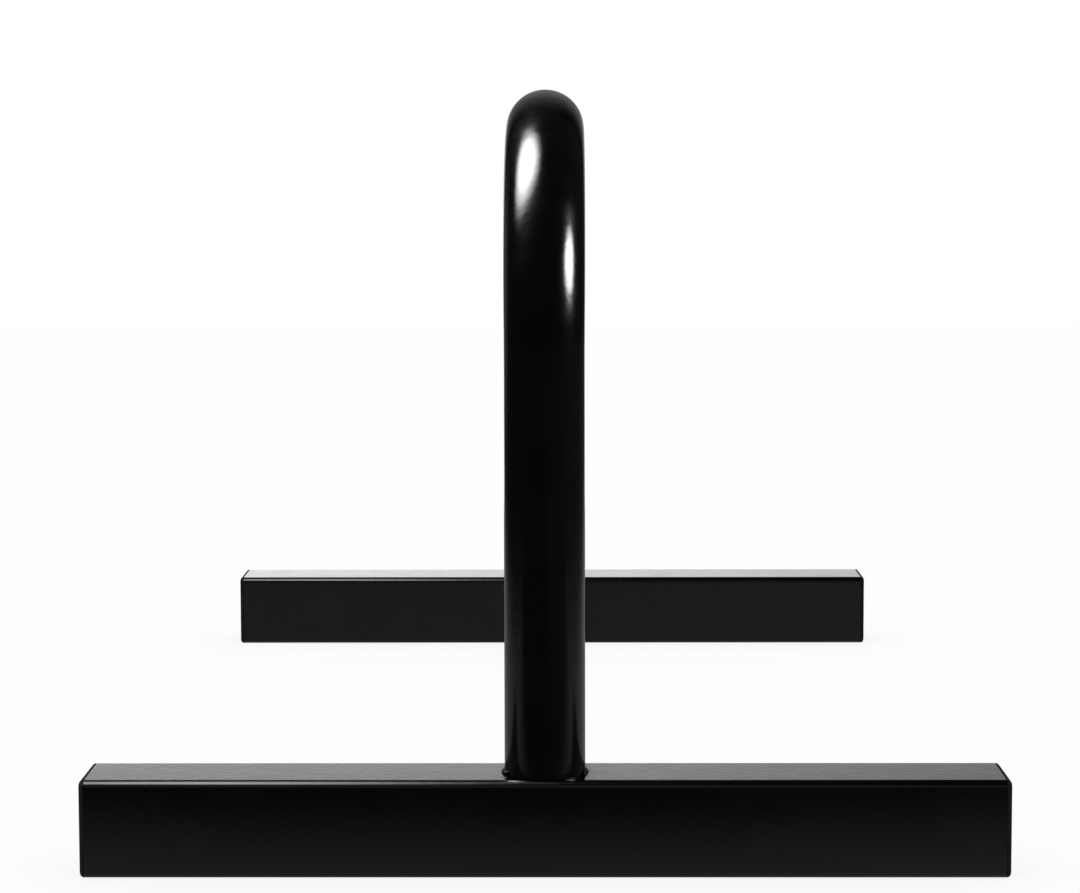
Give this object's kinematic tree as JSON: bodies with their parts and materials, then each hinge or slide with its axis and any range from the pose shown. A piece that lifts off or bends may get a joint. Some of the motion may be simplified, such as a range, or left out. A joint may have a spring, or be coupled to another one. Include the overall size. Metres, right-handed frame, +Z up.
{
  "type": "parallette bar",
  "caption": "Free-standing parallette: an upside-down U of bent round tube as the grip, welded at its legs to square-tube cross feet with plastic end caps.",
  "frame": {"origin": "on the floor, in the middle of the part's footprint", "axes": "+Z up from the floor, +Y along the grip from the front foot to the rear foot, +X along the feet to the right as seen from the front"},
  "size_m": [0.377, 0.64, 0.3195],
  "materials": {
    "coated_steel": "gloss black powder coat",
    "cap_plastic": "fine-grained matte black"
  },
  "bodies": {
    "root": {"handle_bar": "coated_steel", "front_foot": "coated_steel", "rear_foot": "coated_steel", "front_weld": "coated_steel", "rear_weld": "coated_steel", "front_left_cap": "cap_plastic", "front_right_cap": "cap_plastic", "rear_left_cap": "cap_plastic", "rear_right_cap": "cap_plastic"}
  },
  "joints": []
}
